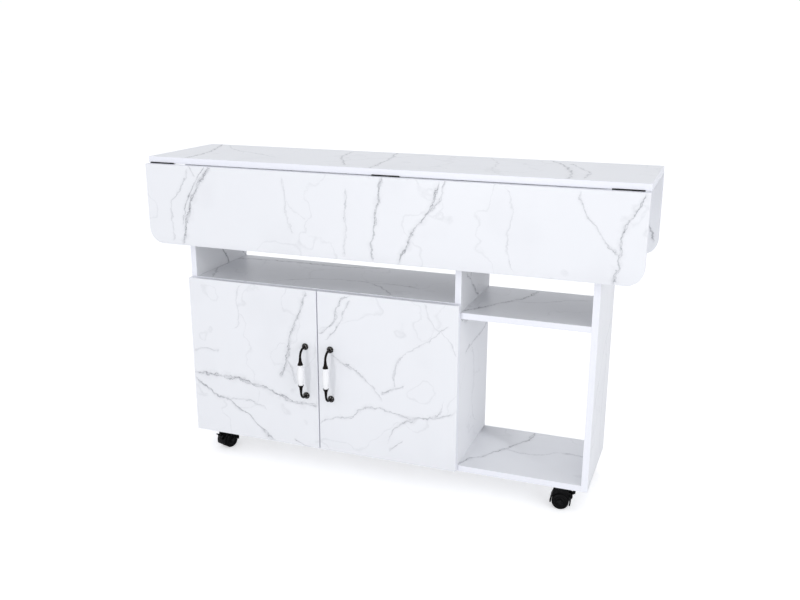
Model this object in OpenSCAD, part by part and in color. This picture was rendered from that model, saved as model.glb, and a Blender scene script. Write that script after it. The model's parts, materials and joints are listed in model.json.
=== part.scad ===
// Rolling drop-leaf serving table: a narrow top with two hinged leaves over a
// two-door cabinet and open bays, on four braked twin-wheel castors.
// Millimetres. +Z is up, +X runs along the top and the doors face -Y. The origin is
// on the floor, under the middle of the whole table at rest.

/* [Boards] */
// Thickness of every 15 mm class board
board_t = 15; // [13:0.5:19]
// Thickness of the cabinet's back panel
back_t = 5; // [3:0.5:8]

/* [Carcass] */
// Length of the carcass over its two side panels
carcass_w = 1020; // [850:5:1300]
// Depth of the carcass from front to back
carcass_d = 250; // [205:5:400]
// Height of the side panels, from the castors to the underside of the top
side_h = 702; // [585:1:860]
// Length of the cabinet, from the left end to the divider's open side
cabinet_w = 710; // [600:1:850]
// Height of the cabinet's roof above the underside of the carcass
cabinet_h = 418; // [340:1:520]
// Height of the open shelf's upper face above the underside of the carcass
shelf_h = 397; // [320:1:520]
// Distance of the back panel from the carcass's rear edge
back_inset = 8; // [4:1:30]
// Depth of the grooves that hold the back panel
groove_d = 5; // [3:0.5:7]

/* [Top and leaves] */
// Overhang of the top past each side panel
end_overhang = 90; // [86:1:140]
// Overhang of the top past the carcass's front and back
front_overhang = 20; // [19:1:60]
// Width of each leaf
leaf_w = 196.5; // [160:0.5:230]
// Radius of the leaves' free corners
leaf_corner_r = 38; // [10:1:70]
// Gap between the top and a raised leaf
leaf_gap = 1; // [0.5:0.25:2]

/* [Leaf hinges] */
// Length of a leaf hinge
flap_l = 66; // [50:1:76]
// Width of each hinge plate, from the pin
flap_w = 18; // [15:0.5:18]
// Thickness of the hinge plates
flap_t = 1.5; // [1:0.25:2]
// Distance of the hinge pin below the top's underside
knuckle_e = 0.75; // [0.75:0.25:1.25]
// Radius of the hinge knuckles, which sink into notches in the boards' edges
knuckle_r = 2.2; // [2:0.1:2.6]
// Distance of the left hinge's middle from the top's left end
flap_inset_left = 39; // [35:1:50]
// Distance of the right hinge's middle from the top's right end
flap_inset_right = 46; // [35:1:50]
// Distance of the middle hinge from the middle of the top
flap_mid_x = 24; // [-40:1:40]

/* [Doors] */
// Height of the doors
door_h = 412; // [334:1:494]
// Height of the doors' lower edge above the underside of the carcass
door_lift = 4.5; // [0:0.5:12]
// Gap between the two doors
door_split = 3; // [2:0.5:5]
// Gap between the doors and the carcass
door_gap = 1.5; // [1.25:0.25:2]
// Distance of a cup hinge from the door's upper or lower edge
cup_inset = 60; // [50:1:100]
// Diameter of the hinge cup
cup_d = 35; // [35:1:36]
// Depth of the hinge cup
cup_depth = 11.5; // [11:0.25:12]

/* [Pulls] */
// Distance between a pull's two screws
pull_pitch = 128; // [116:1:160]
// Distance from a pull to the doors' meeting edge
pull_inset = 32; // [25:1:60]
// Distance of the pulls' middle below the doors' middle
pull_drop = 2; // [0:1:20]
// Distance of the grip's axis from the door
pull_reach = 29; // [26:1:40]
// Length of the ceramic grip between the two metal arms
grip_l = 58; // [44:1:60]
// Largest diameter of the ceramic grip
grip_d = 17; // [14:0.5:20]

/* [Castors] */
// Height of a castor from the floor to the carcass
castor_h = 60; // [58:1:72]
// Diameter of the castor wheels
wheel_d = 40; // [38:1:44]
// Width of one wheel of a pair
wheel_w = 14; // [12:0.5:16]
// Horizontal offset of the axle from the swivel axis
castor_trail = 12; // [8:1:16]
// Side of the square castor plate
plate_w = 40; // [38:1:48]
// Distance of a swivel axis from the carcass's end
castor_inset_x = 52; // [45:1:120]
// Distance of a swivel axis from the carcass's front or back
castor_inset_y = 27; // [24:1:60]

/* [Hidden] */
// Fits and clearances
run = 0.05;            // radial clearance of a pin that turns in its bore
fit = 0.05;            // radial clearance of a screw or dowel in its hole
slot_fit = 0.2;        // clearance of the back panel in its grooves
eps = 0.01;
cut = 1;               // how far a cutter runs past a face

// Heights
carcass_z = castor_h;
under_top = carcass_z + side_h;
floor_z1 = carcass_z + board_t;
roof_z1 = carcass_z + cabinet_h;
roof_z0 = roof_z1 - board_t;
shelf_z1 = carcass_z + shelf_h;
shelf_z0 = shelf_z1 - board_t;
door_z0 = carcass_z + door_lift;
door_mid_z = door_z0 + door_h / 2;

// Lengths
side_x = carcass_w / 2;
inner_x = side_x - board_t;
div_x1 = -side_x + cabinet_w;
div_x0 = div_x1 - board_t;
top_l = carcass_w + 2 * end_overhang;

// Depths: the leaves hang this far outside the top's middle plane, the pulls that far
top_w = carcass_d + 2 * front_overhang;
pin_out = top_w / 2 + leaf_gap / 2;
leaf_out = pin_out + knuckle_e;
pull_out = carcass_d / 2 + door_gap + board_t + pull_reach + grip_d / 2;
front_out = max(pull_out, leaf_out + board_t);
mid_y = (front_out - leaf_out - board_t) / 2;
carcass_y0 = mid_y - carcass_d / 2;
carcass_y1 = mid_y + carcass_d / 2;
door_back_y = carcass_y0 - door_gap;
door_front_y = door_back_y - board_t;
pin_z = under_top - knuckle_e;
leaf_top_z = pin_z - leaf_gap / 2;

// Doors
door_w = (cabinet_w - door_split) / 2;
meet_x = (div_x1 - side_x) / 2;
cup_z = [door_z0 + cup_inset, door_z0 + door_h - cup_inset];

// Cup hinge, measured from the panel's inner face and the door's back face
cup_x = 7.5;                     // middle of the cup
cup_wall = 0.8;
cup_fit = 0.2;                   // radial clearance of the cup in the door
arm_pin = [11, -3];              // link's pin in the fixed arm
cup_pin = [-6.5, -4];            // link's pin in the cup
link_bend = [-1, -6];            // bend of the link between its pins
link_t = 1.2;
link_w = 8;
eye_r = 1.7;
hinge_pin_r = 1;
// the link's pin ends inside the cup's round wall
cup_pin_l = 2 * sqrt(pow(cup_d / 2, 2) - pow(cup_x - cup_pin[0] + hinge_pin_r, 2)) - 0.1;
arm_w = 12;                      // width of the arm over its cheeks
arm_cheek = 1.2;
arm_end = 60;                    // how far the arm reaches into the cabinet
base_t = 2.5;                    // thickness of the base plate
base_screw_z = 16;               // base plate's screws, above and below the hinge
cup_screw_z = 24;                // cup's screws, above and below the hinge
cup_screw_x = 15;
base_screw_y = 38;

// Wood screws
screw_r = 1.75;
screw_head_r = 3.4;
screw_head_t = 1.4;
screw_l = 12;

// Leaf hinges
flap_pin_r = 1.2;
knuckle_gap = 0.35;              // clearance of a knuckle in its notch
flap_x = [-top_l / 2 + flap_inset_left, flap_mid_x, top_l / 2 - flap_inset_right];
flap_third = flap_l / 4;         // length of each outer knuckle
flap_screw_x = [-flap_l / 2 + 8, 0, flap_l / 2 - 8];
flap_screw_y = flap_w - 6.5;

// Cam fittings between boards
cam_r = 7.5;
cam_h = board_t - 2.5;           // leaves a thin floor under the cam
cam_back = 24;                   // cam's middle from the board's end
bolt_r = 3.2;
bolt_thread_r = 2.5;
bolt_in = 9.5;                   // thread's depth in the other board
dowel_r = 4;
dowel_in = 9.5;                  // dowel's depth in the other board
dowel_l = 29;
cam_y = carcass_d / 2 - 72;      // fittings, in front of and behind the middle
dowel_y = carcass_d / 2 - 97;

// Pulls
foot_r = 8.5;
foot_t = 5;
arm_r = 2.9;
bend_r = 19;
bell_r = 7;
bell_wall = 1.2;
bell_in = 3;                     // how far the grip sits inside a bell
grip_end_r = 5.4;
stud_r = 2;
stud_in = 7;                     // stud's depth in each metal arm
pull_screw_r = 2;
pull_head_r = 4.2;
pull_head_t = 2.2;
pull_screw_in = 7;               // screw's depth in the foot

// Castors
wheel_r = wheel_d / 2;
web_t = 5;                       // thickness of the housing's web between the wheels
wheel_side = 0.6;                // side clearance of the wheels
cap_gap = 0.2;                   // side clearance of the axle's caps
axle_r = 3;
hood_r = wheel_r + 4.5;
hood_t = 3;
hood_w = 31;
boss_r = 10.5;
plate_t = 2.5;
washer_t = 2;
king_r = 4;
ring_r = 5.2;
ring_t = 1.2;
plate_hole = plate_w / 2 - 6;    // screw holes from the plate's middle
castor_x = side_x - castor_inset_x;
castor_y = carcass_d / 2 - castor_inset_y;
axle_z = wheel_r;
boss_z1 = castor_h - plate_t - washer_t - 0.4;
hood_in = hood_r - hood_t;
// the kingpin ends above the hood's inner face
king_z0 = axle_z + sqrt(pow(hood_in, 2) - pow(castor_trail - king_r, 2)) + 1.3;
king_l = castor_h - plate_t - king_z0;
lever_pin = [castor_trail - wheel_r - 4, wheel_r + 16];
lever_pin_r = 1.5;
lever_eye_r = 3.4;
lever_ear = [6.6, 9.4];          // inner and outer face of the housing's ears
lever_w = 12;
boss_z0 = lever_pin[1] + lever_eye_r + 0.8;
toe_w = 16;
brake_swing = 18;                // how far the pedal tips to press the tooth on
tooth_r = 1.5;
tooth_gap = 0.3;                 // between the pressed tooth and the tread
axle_at = [castor_trail, axle_z];
tooth_pressed = axle_at + (wheel_r + tooth_gap + tooth_r) * [cos(156), sin(156)];
tooth_at = turned(tooth_pressed, lever_pin, -brake_swing);
// Trail directions at rest, in degrees about +Z
castor_turn = [185, 70, 35, 150]; // front right, front left, rear right, rear left
castor_side = [[1, -1], [-1, -1], [1, 1], [-1, 1]];

// Colours
marble = "#e9eaef";
back_white = "#dfe1e6";
black_metal = "#26262a";
black_plastic = "#1a1a1c";
tread_grey = "#2b2b2e";
steel = "#a9abb0";
zinc = "#b9bbbe";
beech = "#cfa878";
bronze = "#2a2420";
ceramic = "#f6f5f1";

// ---------------------------------------------------------------- helpers

// Point p turned about point c by an angle
function turned(p, c, a) = c + [
    (p[0] - c[0]) * cos(a) - (p[1] - c[1]) * sin(a),
    (p[0] - c[0]) * sin(a) + (p[1] - c[1]) * cos(a)];

// A box from its lowest to its highest corner
module box(lo, hi) {
    translate(lo) cube(hi - lo);
}

// A cylinder from z0 to z1
module rod(r, z0, z1, fn = 32) {
    translate([0, 0, z0]) cylinder(r = r, h = z1 - z0, $fn = fn);
}

// A rod along +X
module rod_x(r, x0, x1, fn = 32) {
    rotate([0, 90, 0]) rod(r, x0, x1, fn);
}

// A rod along +Y
module rod_y(r, y0, y1, fn = 32) {
    rotate([-90, 0, 0]) rod(r, y0, y1, fn);
}

// A flat strip between two points of a profile
module strip(p, q, w) {
    d = q - p;
    translate(p) rotate(atan2(d[1], d[0])) translate([0, -w / 2]) square([norm(d), w]);
}

// ---------------------------------------------------------------- wood screws

// The outline of a countersunk screw, head at the top, grown by a clearance
module screw_outline(c, l) {
    rotate_extrude($fn = 20)
        polygon([[0, c], [screw_head_r + c, c], [screw_head_r + c, 0],
            [screw_r + c, -screw_head_t], [screw_r + c, -l - c], [0, -l - c]]);
}

module wood_screw() {
    screw_outline(0, screw_l);
}

module screw_hole() {
    screw_outline(fit, screw_l);
}

// ---------------------------------------------------------------- cam fittings

// Places children at each cam fitting. Local +X points into the board that holds the
// cam, from its end, and local +Z points out of the face that the cam goes in from.
module at_cams(which) {
    // floor panel's ends against the side panels, cams from below
    if (which == "floor")
        for (s = [-1, 1], y = [-cam_y, cam_y])
            translate([s * inner_x, mid_y + y, floor_z1 - board_t / 2])
                mirror([s > 0 ? 1 : 0, 0, 0]) mirror([0, 0, 1]) children();
    // cabinet roof against the left side and the divider, cams from below
    if (which == "roof")
        for (s = [0, 1], y = [-cam_y, cam_y])
            translate([s == 0 ? -inner_x : div_x0, mid_y + y, roof_z1 - board_t / 2])
                mirror([s, 0, 0]) mirror([0, 0, 1]) children();
    // open shelf against the divider and the right side, cams from below
    if (which == "shelf")
        for (s = [0, 1], y = [-cam_y, cam_y])
            translate([s == 0 ? div_x1 : inner_x, mid_y + y, shelf_z1 - board_t / 2])
                mirror([s, 0, 0]) mirror([0, 0, 1]) children();
    // divider's lower end on the floor panel, cams from the cabinet's inside
    if (which == "divider_foot")
        for (y = [-cam_y, cam_y])
            translate([div_x0 + board_t / 2, mid_y + y, floor_z1])
                rotate([0, -90, 0]) children();
    // upper ends of the left side, the divider and the right side under the top
    if (which == "left_head")
        for (y = [-cam_y, cam_y])
            translate([-side_x + board_t / 2, mid_y + y, under_top])
                rotate([0, 90, 0]) children();
    if (which == "divider_head")
        for (y = [-cam_y, cam_y])
            translate([div_x0 + board_t / 2, mid_y + y, under_top])
                rotate([0, 90, 0]) children();
    if (which == "right_head")
        for (y = [-cam_y, cam_y])
            translate([side_x - board_t / 2, mid_y + y, under_top])
                mirror([1, 0, 0]) rotate([0, 90, 0]) children();
}

CAMS = ["floor", "roof", "shelf", "divider_foot", "left_head", "divider_head", "right_head"];

// Places children at the dowel beside each cam fitting
module at_dowels(which) {
    at_cams(which) translate([0, dowel_y - cam_y, 0]) children();
}

// Holes for one cam fitting: cam recess, bolt bore and thread hole
module cam_holes() {
    translate([cam_back, 0, 0])
        rod(cam_r + fit, board_t / 2 - cam_h - fit, board_t / 2 + cut, 40);
    rod_x(bolt_r + fit, 0, cam_back, 24);
    rod_x(bolt_thread_r + fit, -bolt_in - fit, eps, 24);
}

module dowel_holes() {
    rod_x(dowel_r + fit, -dowel_in - fit, dowel_l - dowel_in + fit, 24);
}

// All holes of the cam fittings and dowels whose joints are listed
module joint_holes(list) {
    for (j = list) {
        at_cams(j) cam_holes();
        at_dowels(j) dowel_holes();
    }
}

module cam_nut() {
    difference() {
        translate([cam_back, 0, 0]) rod(cam_r, board_t / 2 - cam_h, board_t / 2, 40);
        // slot for the bolt's head
        box([0, -bolt_r - 0.3, -bolt_r - 0.3], [cam_back + 2.6, bolt_r + 0.3, bolt_r + 0.3]);
        // cross recess
        for (a = [0, 90])
            translate([cam_back, 0, board_t / 2 - 2]) rotate(a + 45)
                box([-4, -0.6, 0], [4, 0.6, 2 + cut]);
    }
}

module cam_bolt() {
    rod_x(bolt_thread_r, -bolt_in, 0, 24);
    rod_x(bolt_r, 0, 2, 24);
    rod_x(2.2, 2, cam_back - 2, 24);
    rod_x(bolt_r, cam_back - 2, cam_back + 2, 24);
}

module dowel() {
    rod_x(dowel_r, -dowel_in, dowel_l - dowel_in, 24);
}

// ---------------------------------------------------------------- leaf hinges

// Places children at each leaf hinge of one side: local origin on the pin's middle,
// local +Y away from the table's middle, local +Z up
module at_flaps(side) {
    for (x = flap_x)
        translate([x, mid_y + side * pin_out, pin_z]) mirror([0, side < 0 ? 1 : 0, 0])
            children();
}

// The knuckle tube between two lengths, measured from the hinge's middle
module knuckle(x0, x1) {
    rod_x(knuckle_r, x0, x1, 32);
}

module knuckle_bore() {
    rod_x(flap_pin_r + run, -flap_l / 2 - cut, flap_l / 2 + cut, 32);
}

// Space that the other plate's knuckles need
module knuckle_room(x0, x1) {
    rod_x(knuckle_r + 0.5, x0 - 0.4, x1 + 0.4, 32);
}

// Notch in a board's edge for all knuckles of a hinge
module knuckle_notch() {
    rod_x(knuckle_r + knuckle_gap, -flap_l / 2 - 0.5, flap_l / 2 + 0.5, 32);
}

flap_k0 = -flap_l / 2 + flap_third;
flap_k1 = flap_l / 2 - flap_third;

// Holes for the screws of a plate that lies under the top, on the side of -Y
module top_plate_screws() {
    for (x = flap_screw_x)
        translate([x, -flap_screw_y, knuckle_e - flap_t]) mirror([0, 0, 1]) children();
}

// The same on the leaf, below the pin
module leaf_plate_screws() {
    for (x = flap_screw_x)
        translate([x, knuckle_e - flap_t, -flap_screw_y]) rotate([90, 0, 0]) children();
}

module flap_top_plate() {
    difference() {
        union() {
            difference() {
                box([-flap_l / 2, -flap_w, knuckle_e - flap_t], [flap_l / 2, 0, knuckle_e]);
                knuckle_room(flap_k0, flap_k1);
            }
            knuckle(-flap_l / 2, flap_k0);
            knuckle(flap_k1, flap_l / 2);
        }
        knuckle_bore();
        top_plate_screws() screw_hole();
    }
}

module flap_leaf_plate() {
    difference() {
        union() {
            difference() {
                box([-flap_l / 2, knuckle_e - flap_t, -flap_w], [flap_l / 2, knuckle_e, 0]);
                knuckle_room(-flap_l / 2 - 1, flap_k0);
                knuckle_room(flap_k1, flap_l / 2 + 1);
            }
            knuckle(flap_k0 + 0.3, flap_k1 - 0.3);
        }
        knuckle_bore();
        leaf_plate_screws() screw_hole();
    }
}

module flap_pin() {
    rod_x(flap_pin_r, -flap_l / 2, flap_l / 2, 32);
}

// ---------------------------------------------------------------- cup hinges

// Places children at each cup hinge of one door: local +X from the panel's inner face
// into the opening, local +Y from the door's back into the cabinet
module at_cups(right) {
    for (z = cup_z)
        translate([right ? div_x0 : -inner_x, door_back_y, z])
            mirror([right ? 1 : 0, 0, 0]) children();
}

module cup_hole() {
    translate([cup_x, 0, 0]) rod_y(cup_d / 2 + cup_fit, -cup_depth - fit, cut, 48);
}

module at_cup_screws() {
    for (z = [-cup_screw_z, cup_screw_z])
        translate([cup_screw_x, 1, z]) rotate([-90, 0, 0]) children();
}

module at_base_screws() {
    for (z = [-base_screw_z, base_screw_z])
        translate([base_t, door_gap + base_screw_y, z]) rotate([0, 90, 0]) children();
}

module hinge_cup() {
    inner_r = cup_d / 2 - cup_wall;
    difference() {
        union() {
            translate([cup_x, 0, 0]) rod_y(cup_d / 2, -cup_depth, 0, 48);
            // flange with two screw wings, on the side away from the door's edge
            intersection() {
                translate([cup_x, 0, 0]) rod_y(cup_d / 2 + 1.5, 0, 1, 48);
                box([2, 0, -30], [cup_x + 30, 1, 30]);
            }
            box([cup_screw_x - 6, 0, -cup_screw_z - 6], [cup_screw_x + 6, 1, cup_screw_z + 6]);
        }
        translate([cup_x, 0, 0]) rod_y(inner_r, -cup_depth + cup_wall, 1 + cut, 48);
        translate([cup_pin[0], cup_pin[1], 0])
            rod(hinge_pin_r, -cup_pin_l / 2, cup_pin_l / 2, 16);
        at_cup_screws() screw_hole();
    }
    translate([cup_pin[0], cup_pin[1], 0])
        rod(hinge_pin_r - eps, -cup_pin_l / 2 + eps, cup_pin_l / 2 - eps, 16);
}

module hinge_link() {
    translate([0, 0, -link_w / 2]) linear_extrude(link_w) difference() {
        union() {
            translate(cup_pin) circle(r = eye_r, $fn = 24);
            translate(arm_pin) circle(r = eye_r, $fn = 24);
            translate(link_bend) circle(r = link_t / 2, $fn = 16);
            strip(cup_pin, link_bend, link_t);
            strip(link_bend, arm_pin, link_t);
        }
        translate(cup_pin) circle(r = hinge_pin_r + run, $fn = 24);
        translate(arm_pin) circle(r = hinge_pin_r + run, $fn = 24);
    }
}

// Side view of the arm's cheeks: a nose round the pin, a neck and the long body
module arm_profile() {
    body_y = door_gap + 10;
    difference() {
        union() {
            translate(arm_pin) circle(r = 2.2, $fn = 24);
            strip(arm_pin, [arm_pin[0] + 0.3, body_y + 1], 4.4);
            polygon([[arm_pin[0] + 2.5, body_y], [arm_pin[0] + 2.5, arm_end],
                [base_t, arm_end], [base_t, body_y + 12],
                [arm_pin[0] - 1.9, body_y]]);
        }
        translate(arm_pin) circle(r = hinge_pin_r, $fn = 24);
    }
}

module hinge_arm() {
    // two cheeks and the web that joins them
    for (z = [-arm_w / 2, arm_w / 2 - arm_cheek])
        translate([0, 0, z]) linear_extrude(arm_cheek) arm_profile();
    box([arm_pin[0] + 2.5 - arm_cheek, door_gap + 10, -arm_w / 2 + arm_cheek - eps],
        [arm_pin[0] + 2.5, arm_end, arm_w / 2 - arm_cheek + eps]);
    // pin through both cheeks
    translate([arm_pin[0], arm_pin[1], 0])
        rod(hinge_pin_r - eps, -arm_w / 2, arm_w / 2, 24);
}

module hinge_base_plate() {
    difference() {
        union() {
            box([0, door_gap + 26, -9], [base_t, arm_end, 9]);
            box([0, door_gap + base_screw_y - 6, -base_screw_z - 6],
                [base_t, door_gap + base_screw_y + 6, base_screw_z + 6]);
        }
        at_base_screws() screw_hole();
    }
    // block between the arm's cheeks
    box([base_t - eps, door_gap + 30, -arm_w / 2 + arm_cheek + 0.2],
        [arm_pin[0] - 1, arm_end - 2, arm_w / 2 - arm_cheek - 0.2]);
}

// ---------------------------------------------------------------- pulls

pull_mid_z = door_mid_z - pull_drop;

// Places children at one pull: local origin on the door's face between the feet,
// local +Y out of the door, local +Z up
module at_pull(right) {
    translate([meet_x + (right ? 1 : -1) * (door_split / 2 + pull_inset), door_front_y,
        pull_mid_z]) mirror([0, 1, 0]) children();
}

// Half of a pull: foot, quarter bend and a bell that opens towards the grip
module pull_arm(up) {
    foot_z = pull_pitch / 2;
    bell_z = grip_l / 2 - bell_in;
    mirror([0, 0, up ? 0 : 1]) difference() {
        union() {
            // domed foot with a raised ring
            translate([0, 0, foot_z]) rotate([-90, 0, 0]) rotate_extrude($fn = 40)
                polygon([[0, 0], [foot_r, 0], [foot_r, foot_t * 0.4],
                    [foot_r - 1, foot_t * 0.7], [foot_r - 2.4, foot_t * 0.7],
                    [foot_r - 3.2, foot_t], [0, foot_t + 1]]);
            // straight stem out of the foot
            translate([0, 0, foot_z]) rod_y(arm_r, foot_t - 1, pull_reach - bend_r, 24);
            // quarter bend down to the grip's axis
            translate([0, pull_reach - bend_r, foot_z - bend_r]) rotate([90, 0, 90])
                rotate_extrude(angle = 90, $fn = 48)
                    translate([bend_r, 0]) circle(r = arm_r, $fn = 24);
            // tapering stem that flares into the bell
            translate([0, pull_reach, 0]) rotate_extrude($fn = 40)
                polygon([[0, bell_z], [bell_r, bell_z], [bell_r, bell_z + 1],
                    [grip_end_r + bell_wall, grip_l / 2 + 0.8], [bell_r - 2, bell_z + 6.4],
                    [bell_r - 2.9, bell_z + 11], [arm_r, foot_z - bend_r],
                    [0, foot_z - bend_r]]);
        }
        // socket for the grip's end
        translate([0, pull_reach, 0])
            rod(grip_end_r + 0.15, bell_z - cut, grip_l / 2 + 0.05, 40);
        // blind hole for the stud
        translate([0, pull_reach, 0]) rod(stud_r, 0, grip_l / 2 + stud_in, 24);
        // threaded hole in the foot
        translate([0, 0, foot_z]) rod_y(pull_screw_r, -cut, pull_screw_in, 24);
    }
}

module pull_grip() {
    steps = 12;
    half = grip_l / 2;
    bulge = grip_d / 2 - grip_end_r;
    side = [for (i = [0:steps]) let (u = -1 + 2 * i / steps)
        [grip_end_r + bulge * pow(cos(90 * u), 1.5), half * u * 0.86]];
    translate([0, pull_reach, 0]) difference() {
        rotate_extrude($fn = 48)
            polygon(concat([[0, -half], [grip_end_r, -half]], side,
                [[grip_end_r, half], [0, half]]));
        rod(stud_r + 0.1, -half - cut, half + cut, 24);
    }
}

module pull_fasteners() {
    // threaded stud through the grip
    translate([0, pull_reach, 0])
        rod(stud_r - 0.02, -grip_l / 2 - stud_in + 0.2, grip_l / 2 + stud_in - 0.2, 24);
    // one screw from inside the door into each foot
    for (z = [-pull_pitch / 2, pull_pitch / 2]) translate([0, 0, z]) {
        rod_y(pull_screw_r - 0.02, -board_t, pull_screw_in - 0.2, 24);
        difference() {
            rod_y(pull_head_r, -board_t - pull_head_t, -board_t, 32);
            for (a = [0, 90]) rotate([0, a, 0])
                box([-2.6, -board_t - pull_head_t - cut, -0.5],
                    [2.6, -board_t - pull_head_t + 1.2, 0.5]);
        }
    }
}

// ---------------------------------------------------------------- castors

// Places children at one castor's swivel axis on the floor, turned as it rests:
// local +X points along the trail
module at_castor(i) {
    translate([castor_side[i][0] * castor_x, mid_y + castor_side[i][1] * castor_y, 0])
        rotate(castor_turn[i]) children();
}

// Places children at every castor, square to the table
module at_castor_plates() {
    for (s = castor_side)
        translate([s[0] * castor_x, mid_y + s[1] * castor_y, castor_h]) children();
}

module at_plate_screws() {
    for (x = [-plate_hole, plate_hole], y = [-plate_hole, plate_hole])
        translate([x, y, -plate_t]) mirror([0, 0, 1]) children();
}

module castor_plate() {
    half = plate_w / 2;
    corner = 4;
    difference() {
        union() {
            box([-half + corner, -half, -plate_t], [half - corner, half, 0]);
            box([-half, -half + corner, -plate_t], [half, half - corner, 0]);
            for (x = [-1, 1], y = [-1, 1])
                translate([x * (half - corner), y * (half - corner), 0])
                    rod(corner, -plate_t, 0, 24);
        }
        rod(king_r, -plate_t - cut, cut, 32);
        at_plate_screws() screw_hole();
    }
}

// Kingpin: riveted in the plate, with a washer shoulder and a snap ring below
module castor_kingpin() {
    rotate_extrude($fn = 40) polygon([[0, 0], [king_r - eps, 0], [king_r - eps, -plate_t],
        [boss_r - 1, -plate_t], [boss_r - 1, -plate_t - washer_t],
        [king_r, -plate_t - washer_t], [king_r, -plate_t - king_l + 4],
        [ring_r, -plate_t - king_l + 4], [ring_r, -plate_t - king_l + 4 - ring_t],
        [king_r, -plate_t - king_l + 4 - ring_t], [king_r, -plate_t - king_l],
        [0, -plate_t - king_l]]);
}

// Bore of the housing's boss, with the groove for the snap ring, from the floor up
module king_bore() {
    top = castor_h - plate_t;
    ring_z = top - king_l + 4 - ring_t;
    rod(king_r + run, top - king_l - 0.4, castor_h, 32);
    rod(ring_r + 0.3, ring_z - 0.3, ring_z + ring_t + 0.3, 32);
}

// Side view of the hood: a ring sector over the wheels with the web inside it
module hood_ring(r0, r1, a0, a1) {
    translate([castor_trail, axle_z]) difference() {
        intersection() {
            circle(r = r1, $fn = 64);
            polygon(concat([[0, 0]],
                [for (i = [0:8]) let (a = a0 + (a1 - a0) * i / 8) 3 * r1 * [cos(a), sin(a)]]));
        }
        if (r0 > 0) circle(r = r0, $fn = 64);
    }
}

// Extrudes a side view drawn in X and Z by a width about the middle plane
module side_extrude(w) {
    translate([0, w / 2, 0]) rotate([90, 0, 0]) linear_extrude(w) children();
}

// Slot in the hood for the brake's tooth, from the ears down
module brake_slot() {
    box([lever_pin[0] - 4, -6.6, axle_z + 5], [castor_trail - 12, 6.6, lever_pin[1] - 4]);
}

module castor_housing() {
    difference() {
        union() {
            side_extrude(hood_w) hood_ring(hood_in, hood_r, -10, 200);
            // flat-topped shoulder that carries the hood under the plate
            side_extrude(hood_w) polygon([[-6, boss_z1], [castor_trail + 16, boss_z1],
                [castor_trail + 17, axle_z + 24], [castor_trail + 22, axle_z + 10],
                [castor_trail, axle_z + 5], [-6, axle_z + 18]]);
            side_extrude(web_t) hood_ring(0, hood_in + 0.5, 15, 165);
            translate([castor_trail, 0, axle_z]) rod_y(axle_r + 4, -web_t / 2, web_t / 2, 32);
            rod(boss_r, boss_z0, boss_z1, 40);
            // ears for the brake's pin
            for (y = [-lever_ear[1], lever_ear[0]])
                translate([0, y + (lever_ear[1] - lever_ear[0]), 0]) rotate([90, 0, 0])
                    linear_extrude(lever_ear[1] - lever_ear[0]) {
                        translate(lever_pin) circle(r = lever_eye_r, $fn = 24);
                        strip(lever_pin, [castor_trail - 6, axle_z + hood_in + 1],
                            2 * lever_eye_r);
                    }
        }
        // room for the wheels inside the hood
        for (s = [-1, 1]) translate([castor_trail, 0, axle_z])
            rod_y(hood_in, s > 0 ? web_t / 2 : -hood_w, s > 0 ? hood_w : -web_t / 2, 64);
        translate([castor_trail, 0, axle_z]) rod_y(axle_r, -web_t, web_t, 32);
        brake_slot();
        translate([lever_pin[0], 0, lever_pin[1]])
            rod_y(lever_pin_r, -lever_ear[1] - cut, lever_ear[1] + cut, 24);
        king_bore();
    }
}

// Axle of the two wheels and pin of the brake, both held by the housing
module castor_pins() {
    half = web_t / 2 + wheel_side + wheel_w + cap_gap;
    translate([castor_trail, 0, axle_z]) {
        rod_y(axle_r - eps, -half, half, 32);
        for (s = [-1, 1])
            rod_y(axle_r + 1.2, s > 0 ? half : -half - 1, s > 0 ? half + 1 : -half, 32);
    }
    translate([lever_pin[0], 0, lever_pin[1]])
        rod_y(lever_pin_r - eps, -lever_ear[1], lever_ear[1], 24);
}

// One wheel: rounded tread, dished outer face with a ring, hub and bore.
// side is +1 or -1 along the axle.
module castor_wheel(side) {
    in = web_t / 2 + wheel_side;
    out = in + wheel_w;
    translate([castor_trail, 0, axle_z]) mirror([0, side < 0 ? 1 : 0, 0])
        rotate([-90, 0, 0]) rotate_extrude($fn = 64)
            polygon([[axle_r + run, in], [wheel_r - 1.5, in], [wheel_r, in + 1.5],
                [wheel_r, out - 4], [wheel_r - 1, out - 1.6], [wheel_r - 3, out - 0.4],
                [wheel_r - 5, out - 0.4], [wheel_r - 6, out - 2.4],
                [wheel_r - 9, out - 2.8], [wheel_r - 10, out - 1.6],
                [wheel_r - 12, out - 1.6], [axle_r + 3.4, out - 2.6],
                [axle_r + 3, out], [axle_r + run, out]]);
}

// Brake: toe plate outside the ears and a tooth that reaches through the hood's slot
module castor_brake() {
    elbow = lever_pin + [-2, -8];
    toe_root = lever_pin + [-3.5, 4];
    difference() {
        union() {
            side_extrude(lever_w) {
                translate(lever_pin) circle(r = lever_eye_r - 0.4, $fn = 24);
                strip(lever_pin, elbow, 2 * tooth_r);
                translate(elbow) circle(r = tooth_r, $fn = 24);
                strip(elbow, tooth_at, 2 * tooth_r);
                translate(tooth_at) circle(r = tooth_r, $fn = 24);
                strip(lever_pin, toe_root + [-1, 0.6], 2.6);
            }
            side_extrude(toe_w) strip(toe_root, lever_pin + [-9, 6.8], 3);
        }
        translate([lever_pin[0], 0, lever_pin[1]])
            rod_y(lever_pin_r + run, -toe_w, toe_w, 24);
    }
}

// ---------------------------------------------------------------- boards

// The back panel's box, grown by a clearance
module back_board(c) {
    y1 = carcass_y1 - back_inset;
    box([-inner_x - groove_d + slot_fit - c, y1 - back_t - c, floor_z1 - groove_d + slot_fit - c],
        [div_x0 + groove_d - slot_fit + c, y1 + c, roof_z0 + groove_d - slot_fit + c]);
}

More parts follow.
